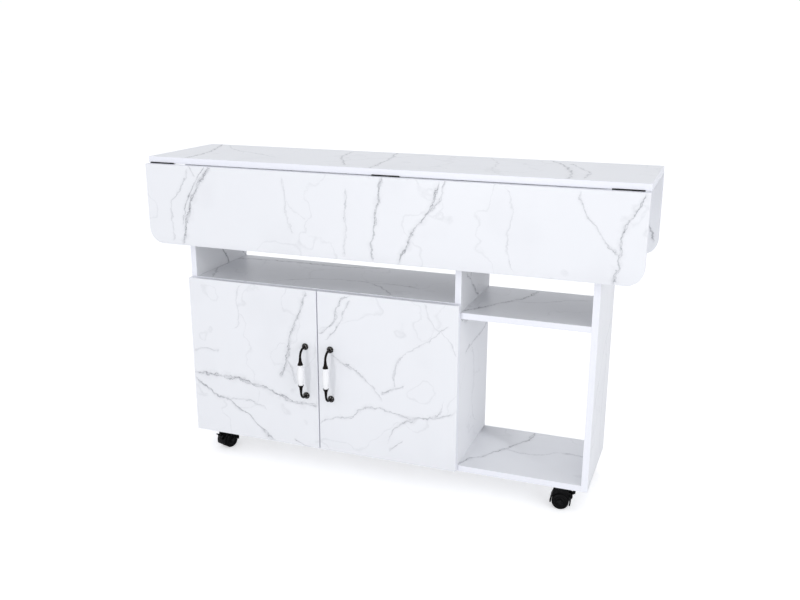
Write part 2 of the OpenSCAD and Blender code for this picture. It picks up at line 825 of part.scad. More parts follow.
module top_panel() {
    color(marble) difference() {
        box([-top_l / 2, mid_y - top_w / 2, under_top],
            [top_l / 2, mid_y + top_w / 2, under_top + board_t]);
        joint_holes(["left_head", "divider_head", "right_head"]);
        for (s = [-1, 1]) at_flaps(s) {
            top_plate_screws() screw_hole();
            knuckle_notch();
        }
    }
}

// A hanging leaf, with its two lower corners rounded
module leaf(side) {
    z0 = leaf_top_z - leaf_w;
    y0 = side < 0 ? mid_y - leaf_out - board_t : mid_y + leaf_out;
    y1 = y0 + board_t;
    r = leaf_corner_r;
    color(marble) difference() {
        union() {
            box([-top_l / 2, y0, z0 + r], [top_l / 2, y1, leaf_top_z]);
            box([-top_l / 2 + r, y0, z0], [top_l / 2 - r, y1, z0 + r + 1]);
            for (s = [-1, 1]) translate([s * (top_l / 2 - r), 0, z0 + r])
                rod_y(r, y0, y1, 96);
        }
        at_flaps(side) {
            leaf_plate_screws() screw_hole();
            knuckle_notch();
        }
    }
}

module front_leaf() { leaf(-1); }
module back_leaf() { leaf(1); }

module left_side_panel() {
    color(marble) difference() {
        box([-side_x, carcass_y0, carcass_z], [-inner_x, carcass_y1, under_top]);
        joint_holes(["floor", "roof", "left_head"]);
        back_board(slot_fit);
        at_cups(false) at_base_screws() screw_hole();
    }
}

module right_side_panel() {
    color(marble) difference() {
        box([inner_x, carcass_y0, carcass_z], [side_x, carcass_y1, under_top]);
        joint_holes(["floor", "shelf", "right_head"]);
    }
}

module divider_panel() {
    color(marble) difference() {
        box([div_x0, carcass_y0, floor_z1], [div_x1, carcass_y1, under_top]);
        joint_holes(["roof", "shelf", "divider_foot", "divider_head"]);
        back_board(slot_fit);
        at_cups(true) at_base_screws() screw_hole();
    }
}

module floor_panel() {
    color(marble) difference() {
        box([-inner_x, carcass_y0, carcass_z], [inner_x, carcass_y1, floor_z1]);
        joint_holes(["floor", "divider_foot"]);
        back_board(slot_fit);
        at_castor_plates() at_plate_screws() screw_hole();
    }
}

module cabinet_roof() {
    color(marble) difference() {
        box([-inner_x, carcass_y0, roof_z0], [div_x0, carcass_y1, roof_z1]);
        joint_holes(["roof"]);
        back_board(slot_fit);
    }
}

module open_shelf() {
    color(marble) difference() {
        box([div_x1, carcass_y0, shelf_z0], [inner_x, carcass_y1, shelf_z1]);
        joint_holes(["shelf"]);
    }
}

module cabinet_back() {
    color(back_white) back_board(0);
}

module door(right) {
    x0 = right ? meet_x + door_split / 2 : -side_x;
    color(marble) difference() {
        box([x0, door_front_y, door_z0], [x0 + door_w, door_back_y, door_z0 + door_h]);
        at_cups(right) {
            cup_hole();
            at_cup_screws() screw_hole();
        }
        at_pull(right) for (z = [-pull_pitch / 2, pull_pitch / 2])
            translate([0, 0, z]) rod_y(pull_screw_r + 0.1, -board_t - cut, cut, 24);
    }
}

module left_door() { door(false); }
module right_door() { door(true); }

// ---------------------------------------------------------------- fittings

module leaf_hinge_top_plates() {
    color(black_metal) for (s = [-1, 1]) at_flaps(s) flap_top_plate();
}
module front_leaf_hinge_plates() { color(black_metal) at_flaps(-1) flap_leaf_plate(); }
module back_leaf_hinge_plates() { color(black_metal) at_flaps(1) flap_leaf_plate(); }
module leaf_hinge_pins() {
    color(steel) for (s = [-1, 1]) at_flaps(s) flap_pin();
}

module frame_screws() {
    color(steel) {
        for (s = [-1, 1]) at_flaps(s) top_plate_screws() wood_screw();
        for (right = [false, true]) at_cups(right) at_base_screws() wood_screw();
        at_castor_plates() at_plate_screws() wood_screw();
    }
}
module front_leaf_screws() { color(steel) at_flaps(-1) leaf_plate_screws() wood_screw(); }
module back_leaf_screws() { color(steel) at_flaps(1) leaf_plate_screws() wood_screw(); }

module cam_bolts() { color(zinc) for (j = CAMS) at_cams(j) cam_bolt(); }
module cam_nuts() { color(zinc) for (j = CAMS) at_cams(j) cam_nut(); }
module dowels() { color(beech) for (j = CAMS) at_dowels(j) dowel(); }

module door_hinge_arms() {
    color(steel) for (right = [false, true]) at_cups(right) hinge_arm();
}
module door_hinge_base_plates() {
    color(steel) for (right = [false, true]) at_cups(right) hinge_base_plate();
}
module left_hinge_links() { color(steel) at_cups(false) hinge_link(); }
module right_hinge_links() { color(steel) at_cups(true) hinge_link(); }
module left_hinge_cups() { color(steel) at_cups(false) hinge_cup(); }
module right_hinge_cups() { color(steel) at_cups(true) hinge_cup(); }
module left_cup_screws() { color(steel) at_cups(false) at_cup_screws() wood_screw(); }
module right_cup_screws() { color(steel) at_cups(true) at_cup_screws() wood_screw(); }

module left_pull_upper_arm() { color(bronze) at_pull(false) pull_arm(true); }
module left_pull_lower_arm() { color(bronze) at_pull(false) pull_arm(false); }
module left_pull_grip() { color(ceramic) at_pull(false) pull_grip(); }
module left_pull_screws() { color(steel) at_pull(false) pull_fasteners(); }
module right_pull_upper_arm() { color(bronze) at_pull(true) pull_arm(true); }
module right_pull_lower_arm() { color(bronze) at_pull(true) pull_arm(false); }
module right_pull_grip() { color(ceramic) at_pull(true) pull_grip(); }
module right_pull_screws() { color(steel) at_pull(true) pull_fasteners(); }

module castor_plates() { color(black_metal) at_castor_plates() castor_plate(); }
module castor_kingpins() { color(steel) at_castor_plates() castor_kingpin(); }

module front_right_castor_housing() { color(black_plastic) at_castor(0) castor_housing(); }
module front_right_castor_pins() { color(steel) at_castor(0) castor_pins(); }
module front_right_castor_wheel_a() { color(tread_grey) at_castor(0) castor_wheel(1); }
module front_right_castor_wheel_b() { color(tread_grey) at_castor(0) castor_wheel(-1); }
module front_right_castor_brake() { color(black_plastic) at_castor(0) castor_brake(); }
module front_left_castor_housing() { color(black_plastic) at_castor(1) castor_housing(); }
module front_left_castor_pins() { color(steel) at_castor(1) castor_pins(); }
module front_left_castor_wheel_a() { color(tread_grey) at_castor(1) castor_wheel(1); }
module front_left_castor_wheel_b() { color(tread_grey) at_castor(1) castor_wheel(-1); }
module front_left_castor_brake() { color(black_plastic) at_castor(1) castor_brake(); }
module rear_right_castor_housing() { color(black_plastic) at_castor(2) castor_housing(); }
module rear_right_castor_pins() { color(steel) at_castor(2) castor_pins(); }
module rear_right_castor_wheel_a() { color(tread_grey) at_castor(2) castor_wheel(1); }
module rear_right_castor_wheel_b() { color(tread_grey) at_castor(2) castor_wheel(-1); }
module rear_right_castor_brake() { color(black_plastic) at_castor(2) castor_brake(); }
module rear_left_castor_housing() { color(black_plastic) at_castor(3) castor_housing(); }
module rear_left_castor_pins() { color(steel) at_castor(3) castor_pins(); }
module rear_left_castor_wheel_a() { color(tread_grey) at_castor(3) castor_wheel(1); }
module rear_left_castor_wheel_b() { color(tread_grey) at_castor(3) castor_wheel(-1); }
module rear_left_castor_brake() { color(black_plastic) at_castor(3) castor_brake(); }

// ---------------------------------------------------------------- assembly

top_panel();
front_leaf();
back_leaf();
left_side_panel();
right_side_panel();
divider_panel();
floor_panel();
cabinet_roof();
open_shelf();
cabinet_back();
left_door();
right_door();
leaf_hinge_top_plates();
front_leaf_hinge_plates();
back_leaf_hinge_plates();
leaf_hinge_pins();
frame_screws();
front_leaf_screws();
back_leaf_screws();
cam_bolts();
cam_nuts();
dowels();
door_hinge_arms();
door_hinge_base_plates();
left_hinge_links();
right_hinge_links();
left_hinge_cups();
right_hinge_cups();
left_cup_screws();
right_cup_screws();
left_pull_upper_arm();
left_pull_lower_arm();
left_pull_grip();
left_pull_screws();
right_pull_upper_arm();
right_pull_lower_arm();
right_pull_grip();
right_pull_screws();
castor_plates();
castor_kingpins();
front_right_castor_housing();
front_right_castor_pins();
front_right_castor_wheel_a();
front_right_castor_wheel_b();
front_right_castor_brake();
front_left_castor_housing();
front_left_castor_pins();
front_left_castor_wheel_a();
front_left_castor_wheel_b();
front_left_castor_brake();
rear_right_castor_housing();
rear_right_castor_pins();
rear_right_castor_wheel_a();
rear_right_castor_wheel_b();
rear_right_castor_brake();
rear_left_castor_housing();
rear_left_castor_pins();
rear_left_castor_wheel_a();
rear_left_castor_wheel_b();
rear_left_castor_brake();
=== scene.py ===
# %% [markdown]
# # A rolling drop-leaf serving table
# The table is flat-pack furniture: white boards with a grey marble print, two hinged leaves, a
# cabinet with two doors, and four castors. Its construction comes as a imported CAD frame. This
# lesson gives that frame its looks: printed boards with edge bands, antique pulls with ceramic
# grips, black castors, plated fittings, and a plain bright studio.

# %% Load the frame
import json
import math

import bmesh
import bpy
from mathutils import Matrix, Vector


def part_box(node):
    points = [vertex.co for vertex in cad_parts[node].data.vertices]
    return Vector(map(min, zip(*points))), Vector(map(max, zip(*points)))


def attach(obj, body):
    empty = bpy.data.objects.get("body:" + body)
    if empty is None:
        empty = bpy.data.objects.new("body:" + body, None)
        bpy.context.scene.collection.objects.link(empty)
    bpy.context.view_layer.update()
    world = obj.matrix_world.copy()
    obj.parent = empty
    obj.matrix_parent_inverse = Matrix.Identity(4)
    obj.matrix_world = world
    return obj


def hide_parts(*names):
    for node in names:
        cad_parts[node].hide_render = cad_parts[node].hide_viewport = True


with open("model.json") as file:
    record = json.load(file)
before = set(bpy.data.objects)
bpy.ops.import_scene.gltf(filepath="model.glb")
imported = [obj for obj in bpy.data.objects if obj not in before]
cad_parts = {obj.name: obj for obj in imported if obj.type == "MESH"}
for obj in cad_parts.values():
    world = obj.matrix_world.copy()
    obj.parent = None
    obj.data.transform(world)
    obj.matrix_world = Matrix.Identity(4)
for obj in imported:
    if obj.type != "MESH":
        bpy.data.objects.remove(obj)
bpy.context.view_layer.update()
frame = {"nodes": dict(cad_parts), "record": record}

MM = 0.001

# %% [markdown]
# ## The camera
# The photograph was taken from the right, a little above the worktop, with a normal lens. The
# place, the turn and the lens were solved from the table's straight edges, so they are written
# here as measured values. Blender's camera looks down its own -Z, so it is first tipped up by a
# right angle and then turned about the vertical.

# %% Place the camera
CAMERA_PLACE = (0.751, -1.9972, 1.056)      # metres
CAMERA_TURN, CAMERA_TIP, CAMERA_ROLL = 0.3557, -0.2834, 0.0031      # radians
CAMERA_LENS = 40.42                         # millimetres, on a sensor 36 mm wide

camera = bpy.data.objects.new("camera", bpy.data.cameras.new("camera"))
bpy.context.scene.collection.objects.link(camera)
camera.data.lens = CAMERA_LENS
camera.matrix_world = (Matrix.Translation(CAMERA_PLACE)
                       @ Matrix.Rotation(CAMERA_TURN, 4, "Z")
                       @ Matrix.Rotation(math.pi / 2 + CAMERA_TIP, 4, "X")
                       @ Matrix.Rotation(CAMERA_ROLL, 4, "Z"))
bpy.context.scene.camera = camera
print("camera at", CAMERA_PLACE, "with a", CAMERA_LENS, "mm lens")

# %% [markdown]
# ## Colours and nodes
# A colour picked from a screen is sRGB, while Blender's sockets hold linear values, so one
# function converts them. Every node tree below is built with one more function, which adds a
# node, sets it and links what is given to it.

# %% Two helpers for materials


def linear(code):
    """A hex colour such as #EDEEF4 as Blender's linear RGBA."""
    values = [int(code[i:i + 2], 16) / 255 for i in (1, 3, 5)]
    return [v / 12.92 if v <= 0.04045 else ((v + 0.055) / 1.055) ** 2.4 for v in values] + [1]


def add(tree, kind, inputs=None, **settings):
    """Adds a node with its settings. An input that is another node's output gets linked."""
    node = tree.nodes.new(kind)
    for name, value in settings.items():
        setattr(node, name, value)
    for key, value in (inputs or {}).items():
        if isinstance(value, bpy.types.NodeSocket):
            tree.links.new(value, node.inputs[key])
        else:
            node.inputs[key].default_value = value
    return node


def material(name, colour, roughness, metallic=0.0):
    """A new material with its node tree, its shader and the object's coordinates in mm."""
    made = bpy.data.materials.new(name)
    made.use_nodes = True
    tree = made.node_tree
    shader = tree.nodes["Principled BSDF"]
    shader.inputs["Base Color"].default_value = linear(colour)
    shader.inputs["Roughness"].default_value = roughness
    shader.inputs["Metallic"].default_value = metallic
    place = add(tree, "ShaderNodeTexCoord").outputs["Object"]
    scaled = add(tree, "ShaderNodeVectorMath", {0: place, "Scale": 1000}, operation="SCALE")
    return made, tree, shader, scaled.outputs[0]


print("mid grey #808080 is", round(linear("#808080")[0], 3), "in linear light")

# %% [markdown]
# ## The marble print
# The boards are faced with melamine over printed paper. The print is white with grey veins. A
# noise pattern alone gives marble, but not these veins in these places. So each vein follows a
# curve node: the distance along the board goes in, and the vein's place across it comes out. On
# the real print a vein is a pale grey band, up to 12 mm wide, and two thin dark lines wander in
# it like a loose plait. The group below draws just that. Its noise makes the band swell and
# shrink, and moves the dark lines from side to side.

# %% One vein as a group of nodes
WHITE, VEIN_GREY = "#EEEFF2", "#6C6D76"
BAND_PART = 2.3         # half width of the grey band, in widths of the vein
LINE_MM = 0.9           # half width of a dark line, as thin as the render can show


def vein_group():
    """The grey of one vein, from where a point lies across and along it."""
    tree = bpy.data.node_groups.new("marble vein", "ShaderNodeTree")
    for name in ("Across", "Centre", "Along", "Width", "Strength"):
        tree.interface.new_socket(name, in_out="INPUT", socket_type="NodeSocketFloat")
    tree.interface.new_socket("Wander", in_out="INPUT", socket_type="NodeSocketVector")
    tree.interface.new_socket("Grey", in_out="OUTPUT", socket_type="NodeSocketFloat")
    given = add(tree, "NodeGroupInput").outputs
    wander = add(tree, "ShaderNodeSeparateXYZ", {0: given["Wander"]}).outputs
    off = add(tree, "ShaderNodeMath", {0: given["Across"], 1: given["Centre"]},
              operation="SUBTRACT").outputs[0]
    swell = add(tree, "ShaderNodeMapRange", {"Value": wander[2], "From Min": 0.35,
                "From Max": 0.65, "To Min": 0.35 * BAND_PART, "To Max": 1.2 * BAND_PART})
    half = add(tree, "ShaderNodeMath", {0: given["Width"], 1: swell.outputs[0]},
               operation="MULTIPLY").outputs[0]
    # the pale band, soft at both sides
    far = add(tree, "ShaderNodeMath", {0: off}, operation="ABSOLUTE").outputs[0]
    far = add(tree, "ShaderNodeMath", {0: far, 1: half}, operation="DIVIDE").outputs[0]
    grey = add(tree, "ShaderNodeMapRange", {"Value": far, "From Min": 0.55, "From Max": 1.25,
               "To Min": 0.30, "To Max": 0.0}, interpolation_type="SMOOTHSTEP").outputs[0]
    halo = add(tree, "ShaderNodeMapRange", {"Value": far, "From Min": 0.5, "From Max": 3.2,
               "To Min": 0.10, "To Max": 0.0}, interpolation_type="SMOOTHSTEP").outputs[0]
    grey = add(tree, "ShaderNodeMath", {0: grey, 1: halo}, operation="MAXIMUM").outputs[0]
    # two dark lines, each as far off the middle as its own noise says
    for which, dark in ((0, 0.95), (1, 0.7)):
        aside = add(tree, "ShaderNodeMapRange", {"Value": wander[which], "From Min": 0.32,
                    "From Max": 0.68, "To Min": -1.0, "To Max": 1.0}).outputs[0]
        aside = add(tree, "ShaderNodeMath", {0: aside, 1: half}, operation="MULTIPLY").outputs[0]
        aside = add(tree, "ShaderNodeMath", {0: off, 1: aside}, operation="SUBTRACT").outputs[0]
        aside = add(tree, "ShaderNodeMath", {0: aside}, operation="ABSOLUTE").outputs[0]
        line = add(tree, "ShaderNodeMapRange", {"Value": aside, "From Min": 0.2,
                   "From Max": 2 * LINE_MM, "To Min": dark, "To Max": 0.0}).outputs[0]
        grey = add(tree, "ShaderNodeMath", {0: grey, 1: line}, operation="MAXIMUM").outputs[0]
    # the vein fades out at both ends
    left = add(tree, "ShaderNodeMath", {0: 1.0, 1: given["Along"]},
               operation="SUBTRACT").outputs[0]
    ends = add(tree, "ShaderNodeMath", {0: given["Along"], 1: left},
               operation="MINIMUM").outputs[0]
    ends = add(tree, "ShaderNodeMapRange", {"Value": ends, "From Min": -0.01,
               "From Max": 0.04}).outputs[0]
    grey = add(tree, "ShaderNodeMath", {0: grey, 1: ends}, operation="MULTIPLY").outputs[0]
    grey = add(tree, "ShaderNodeMath", {0: grey, 1: given["Strength"]},
               operation="MULTIPLY").outputs[0]
    add(tree, "NodeGroupOutput", {"Grey": grey})
    return tree


VEIN = vein_group()


def vein_line(tree, plane, points):
    """How far along a vein a point lies, and where the vein's middle is there."""
    spans = [max(p[i] for p in points) - min(p[i] for p in points) for i in (0, 1)]
    run = 0 if spans[0] > spans[1] else 1
    side = 1 - run
    points = sorted(points, key=lambda p: p[run])
    start, end = points[0][run], points[-1][run]
    low = min(p[side] for p in points)
    high = max(low + 1, max(p[side] for p in points))
    along = add(tree, "ShaderNodeMapRange", {"Value": plane[run], "From Min": start,
                "From Max": end}, clamp=False).outputs[0]
    curve = add(tree, "ShaderNodeFloatCurve", {"Value": along})
    line = curve.mapping.curves[0]
    spots = [((p[run] - start) / (end - start), (p[side] - low) / (high - low)) for p in points]
    line.points[0].location = spots[0]
    line.points[1].location = spots[-1]
    for spot in spots[1:-1]:
        line.points.new(*spot)
    curve.mapping.update()
    centre = add(tree, "ShaderNodeMapRange", {"Value": curve.outputs[0], "To Min": low,
                 "To Max": high}).outputs[0]
    return along, centre, side


def marble(name, axes, veins):
    """Printed melamine on a board whose face lies along two axes, such as "xz"."""
    made, tree, shader, place = material(name, WHITE, 0.33)
    # a noise bends the veins: 30 mm waves, with finer ones inside them
    bend = add(tree, "ShaderNodeTexNoise", {"Vector": place, "Scale": 0.035, "Detail": 4.0,
               "Roughness": 0.6})
    bend = add(tree, "ShaderNodeVectorMath", {0: bend.outputs["Color"], 1: (0.5, 0.5, 0.5)},
               operation="SUBTRACT").outputs[0]
    bend = add(tree, "ShaderNodeVectorMath", {0: bend, "Scale": 22.0},
               operation="SCALE").outputs[0]
    bent = add(tree, "ShaderNodeVectorMath", {0: place, 1: bend}).outputs[0]
    split = add(tree, "ShaderNodeSeparateXYZ", {0: bent}).outputs
    plane = [split["xyz".index(axis)] for axis in axes]
    # the noise that moves each vein's dark lines changes over about 25 mm
    wander = add(tree, "ShaderNodeTexNoise", {"Vector": place, "Scale": 0.04, "Detail": 3.0,
                 "Roughness": 0.65}).outputs["Color"]
    # faint hairlines everywhere: a thin slice through a slow noise
    slow = add(tree, "ShaderNodeTexNoise", {"Vector": bent, "Scale": 0.0042, "Detail": 3.0,
               "Roughness": 0.5}).outputs["Fac"]
    slice_off = add(tree, "ShaderNodeMath", {0: slow, 1: 0.5}, operation="SUBTRACT").outputs[0]
    slice_off = add(tree, "ShaderNodeMath", {0: slice_off}, operation="ABSOLUTE").outputs[0]
    grey = add(tree, "ShaderNodeMapRange", {"Value": slice_off, "From Min": 0.0,
               "From Max": 0.007, "To Min": 0.12, "To Max": 0.0}).outputs[0]
    for width, strength, points in veins:
        along, centre, side = vein_line(tree, plane, points)
        one = add(tree, "ShaderNodeGroup", node_tree=VEIN)
        for socket, value in (("Across", plane[side]), ("Centre", centre), ("Along", along),
                              ("Wander", wander)):
            tree.links.new(value, one.inputs[socket])
        one.inputs["Width"].default_value = width
        one.inputs["Strength"].default_value = strength
        grey = add(tree, "ShaderNodeMath", {0: grey, 1: one.outputs[0]},
                   operation="MAXIMUM").outputs[0]
    # the veins come and go: patches of about 40 mm are paler
    patch = add(tree, "ShaderNodeTexNoise", {"Vector": place, "Scale": 0.03, "Detail": 5.0,
                "Roughness": 0.75}).outputs["Fac"]
    patch = add(tree, "ShaderNodeMapRange", {"Value": patch, "From Min": 0.34, "From Max": 0.58,
                "To Min": 0.3, "To Max": 1.0}).outputs[0]
    grey = add(tree, "ShaderNodeMath", {0: grey, 1: patch}, operation="MULTIPLY").outputs[0]
    # soft clouds of 150 mm tint the white itself
    cloud = add(tree, "ShaderNodeTexNoise", {"Vector": bent, "Scale": 0.0065, "Detail": 2.0})
    cloud = add(tree, "ShaderNodeMapRange", {"Value": cloud.outputs["Fac"], "From Min": 0.5,
                "From Max": 0.8, "To Min": 0.0, "To Max": 0.05}).outputs[0]
    grey = add(tree, "ShaderNodeMath", {0: grey, 1: cloud}, operation="ADD").outputs[0]
    colour = add(tree, "ShaderNodeMix", {"Factor": grey, 6: linear(WHITE),
                 7: linear(VEIN_GREY)}, data_type="RGBA").outputs[2]
    tree.links.new(colour, shader.inputs["Base Color"])
    # pressed melamine has a fine pearl texture, about 1.2 mm across
    pearl = add(tree, "ShaderNodeTexNoise", {"Vector": place, "Scale": 0.8, "Detail": 2.0})
    bump = add(tree, "ShaderNodeBump", {"Height": pearl.outputs["Fac"], "Strength": 0.04,
               "Distance": 0.0002})
    tree.links.new(bump.outputs[0], shader.inputs["Normal"])
    return made


print("vein group has", len(VEIN.nodes), "nodes")

# %% [markdown]
# ## Where the veins run
# The print's veins are placed from the photograph, in round millimetres on each board's own
# face. Each vein is a width, a strength and the points that it runs through. The boards'
# hidden faces get veins of the same kind. A vein has to run one way without turning back, and
# one that doesn't is written as two.

# %% Veins of each board
VEINS = {
    "top_panel": ("xy", [
        (2.2, 0.95, [(-565, 154), (-527, 53), (-505, -22), (-500, -62), (-496, -137)]),
        (1.4, 0.45, [(-540, 154), (-470, 58), (-380, 8), (-300, -42)]),
        (1.8, 0.80, [(-170, 128), (-148, 14), (-120, -42), (-87, -107)]),
        (1.8, 0.75, [(-55, 154), (-27, 0), (-15, -135)]),
        (1.2, 0.35, [(40, 154), (-30, 58), (-110, -22), (-160, -82)]),
        (2.4, 1.00, [(340, 148), (382, 72), (420, -43), (430, -135)]),
        (1.6, 0.70, [(392, 111), (433, 29), (461, -43), (458, -118)]),
        (1.2, 0.30, [(180, 154), (230, 58), (250, -62), (300, -135)]),
    ]),
    "front_leaf": ("xz", [
        (2.8, 1.00, [(-419, 761), (-438, 736), (-450, 721), (-469, 691), (-479, 666),
                     (-495, 608), (-505, 566)]),
        (1.6, 0.70, [(-432, 761), (-455, 731), (-480, 691), (-492, 660), (-503, 615)]),
        (1.8, 0.65, [(-482, 761), (-473, 751), (-462, 737)]),
        (1.5, 0.45, [(-481, 751), (-505, 701), (-533, 655), (-531, 605), (-533, 572)]),
        (1.4, 0.28, [(-228, 746), (-220, 707), (-216, 660), (-205, 615)]),
        (1.2, 0.18, [(-216, 695), (-190, 665), (-170, 650)]),
        (1.5, 0.40, [(-68, 730), (-69, 647), (-72, 600), (-76, 575)]),
        (2.0, 0.85, [(23, 761), (15, 735), (10, 701), (0, 629), (-5, 601), (-1, 569)]),
        (2.4, 1.00, [(155, 761), (145, 729), (139, 708), (117, 672), (95, 645), (86, 618),
                     (72, 595), (61, 565)]),
        (1.8, 0.70, [(171, 763), (166, 749), (160, 721), (148, 708), (128, 685)]),
        (2.6, 0.80, [(594, 759), (574, 720), (558, 688), (548, 659), (547, 623), (545, 594),
                     (537, 567)]),
        (1.8, 0.60, [(457, 759), (468, 721), (488, 691), (505, 672), (526, 645), (545, 625)]),
        (1.2, 0.25, [(300, 755), (318, 695), (310, 635), (330, 570)]),
    ]),
    "back_leaf": ("xz", [
        (2.4, 0.90, [(-380, 761), (-350, 695), (-300, 645), (-280, 565)]),
        (1.6, 0.55, [(-350, 695), (-390, 635), (-400, 565)]),
        (1.6, 0.50, [(-90, 761), (-60, 685), (-75, 615), (-40, 565)]),
        (2.2, 0.80, [(210, 761), (190, 705), (225, 645), (215, 565)]),
        (1.5, 0.40, [(225, 645), (270, 605), (330, 570)]),
        (2.0, 0.70, [(520, 761), (548, 685), (575, 635), (590, 595)]),
    ]),
    "left_door": ("xz", [
        (2.6, 0.85, [(-184, 474), (-199, 427), (-223, 368), (-234, 325), (-238, 294),
                     (-251, 259), (-254, 241)]),
        (1.6, 0.45, [(-238, 294), (-226, 265), (-215, 233)]),
        (1.8, 0.50, [(-508, 283), (-480, 289), (-454, 293), (-430, 291)]),
        (2.8, 1.00, [(-508, 226), (-458, 222), (-401, 225), (-334, 214), (-296, 207),
                     (-256, 194), (-211, 180), (-157, 182)]),
        (2.2, 0.85, [(-507, 212), (-461, 178), (-405, 157), (-368, 135), (-335, 109),
                     (-314, 88), (-281, 67)]),
        (1.5, 0.40, [(-411, 157), (-380, 167), (-345, 165), (-300, 145)]),
        (1.6, 0.55, [(-223, 81), (-200, 71), (-182, 65)]),
        (1.3, 0.30, [(-360, 473), (-375, 435), (-368, 395), (-390, 355)]),
    ]),
    "right_door": ("xz", [
        (2.2, 0.70, [(-65, 476), (-90, 461), (-102, 441), (-105, 420), (-120, 394),
                     (-140, 379), (-152, 370)]),
        (1.8, 0.55, [(-70, 465), (-84, 435), (-92, 410), (-112, 380), (-133, 356)]),
        (1.8, 0.60, [(-121, 317), (-88, 301), (-55, 285), (-26, 264), (-1, 239), (11, 222)]),
        (1.8, 0.60, [(-156, 133), (-107, 158), (-77, 163), (-47, 185), (-1, 199), (36, 191),
                     (89, 186), (149, 196), (198, 217)]),
        (2.2, 0.75, [(30, 115), (45, 150), (66, 169), (101, 184), (149, 200), (168, 243)]),
        (1.6, 0.45, [(48, 258), (42, 280), (48, 310), (64, 340), (111, 370), (176, 428)]),
        (1.8, 0.60, [(11, 237), (30, 249), (48, 258), (70, 263)]),
        (1.5, 0.45, [(65, 120), (48, 107), (30, 93)]),
        (1.3, 0.30, [(120, 474), (135, 425), (176, 395), (197, 355)]),
    ]),
    "cabinet_roof": ("xy", [
        (2.2, 1.00, [(-497, 76), (-470, 91), (-428, 98), (-315, 103), (-177, 105), (-79, 138)]),
        (1.8, 0.80, [(-98, -16), (-59, -26), (-5, -68), (30, -106)]),
        (1.5, 0.55, [(-59, -26), (10, -16), (70, -42)]),
        (2.0, 0.75, [(-499, 58), (-491, -27), (-470, -72), (-452, -114)]),
        (1.4, 0.40, [(-300, -112), (-240, -52), (-160, -22), (-98, -16)]),
    ]),
    "open_shelf": ("xy", [
        (2.4, 0.95, [(198, -110), (213, -84), (239, -51), (256, -24), (281, 12), (310, 58),
                     (330, 132)]),
        (1.5, 0.40, [(281, 12), (350, 28), (430, 78), (494, 88)]),
    ]),
    "floor_panel": ("xy", [
        (2.4, 0.95, [(198, -114), (219, -73), (239, -54), (257, -27), (285, 11), (311, 52),
                     (333, 98), (336, 134)]),
        (1.6, 0.50, [(285, 11), (360, 3), (420, 38), (480, 34)]),
        (2.0, 0.70, [(-480, 118), (-380, 38), (-320, -62), (-220, -112)]),
        (1.5, 0.45, [(-100, 128), (-60, 18), (20, -42), (60, -114)]),
    ]),
    "divider_panel": ("yz", [
        (2.2, 0.85, [(-76, 541), (-42, 518), (-10, 490), (37, 459)]),
        (1.6, 0.50, [(-42, 518), (-22, 555), (8, 605), (18, 695)]),
        (1.8, 0.60, [(132, 367), (88, 359), (39, 355), (-32, 352), (-72, 340)]),
        (1.8, 0.65, [(-114, 441), (-92, 431), (-64, 423), (-32, 427)]),
        (1.5, 0.35, [(-32, 352), (8, 285), (-2, 205), (48, 125)]),
    ]),
    "left_side_panel": ("yz", [
        (2.2, 0.90, [(-7, 555), (12, 519), (26, 503), (39, 479), (58, 425), (38, 345)]),
        (2.4, 0.80, [(-114, 695), (-62, 635), (-32, 585), (-7, 555)]),
        (2.6, 0.85, [(98, 503), (116, 490), (132, 475)]),
        (1.8, 0.60, [(128, 295), (58, 245), (18, 175), (-42, 115), (-114, 91)]),
        (1.5, 0.40, [(38, 345), (-32, 325), (-114, 340)]),
    ]),
    "right_side_panel": ("yz", [
        (1.8, 0.45, [(118, 415), (76, 397), (33, 382), (-22, 335), (-77, 279), (-97, 258)]),
        (1.5, 0.35, [(33, 382), (58, 295), (38, 195), (88, 85)]),
        (1.8, 0.40, [(-114, 635), (-62, 585), (-2, 565), (78, 515), (132, 495)]),
    ]),
}
MARBLES = {node: marble("printed melamine, " + node.replace("_", " "), axes, veins)
           for node, (axes, veins) in VEINS.items()}
print(sum(len(veins) for _, veins in VEINS.values()), "veins on", len(VEINS), "boards")

# %% [markdown]
# ## The boards
# A board is cut to size, its faces keep the print, and its four narrow sides get a plain white
# ABS edge band with a slightly rounded arris. The CAD board already has every hole and groove,
# so a copy of its mesh is merged into one skin, its outer edges are bevelled, and the narrow
# sides take the band's material.

# %% Edge band material
EDGE_BAND, tree, shader, place = material("ABS edge band", "#F3F4FA", 0.30)
ripple = add(tree, "ShaderNodeTexNoise", {"Vector": place, "Scale": 0.25, "Detail": 2.0})
tint = add(tree, "ShaderNodeMix", {"Factor": ripple.outputs["Fac"], 6: linear("#F4F5FB"),
           7: linear("#EFF0F6")}, data_type="RGBA")
tree.links.new(tint.outputs[2], shader.inputs["Base Color"])
print("edge band ready")

# %% Copy, merge and bevel
ARRIS = 0.6 * MM        # radius of a trimmed edge band


def deselect():
    """Leaves edit mode's and object mode's selection empty."""
    bpy.ops.object.select_all(action="DESELECT")


def activate(piece):
    """Makes a piece the only selected and the active object."""
    deselect()
    piece.select_set(True)
    bpy.context.view_layer.objects.active = piece


def merged_copy(node, name):
    """A copy of a CAD node's mesh with its loose triangles joined into one skin."""
    piece = bpy.data.objects.new(name, frame["nodes"][node].data.copy())
    bpy.context.scene.collection.objects.link(piece)
    activate(piece)
    bpy.ops.object.mode_set(mode="EDIT")
    bpy.ops.mesh.select_all(action="SELECT")
    bpy.ops.mesh.remove_doubles(threshold=0.004 * MM)
    bpy.ops.mesh.dissolve_limited(angle_limit=math.radians(0.5))
    bpy.ops.mesh.select_all(action="DESELECT")
    bpy.ops.object.mode_set(mode="OBJECT")
    return piece


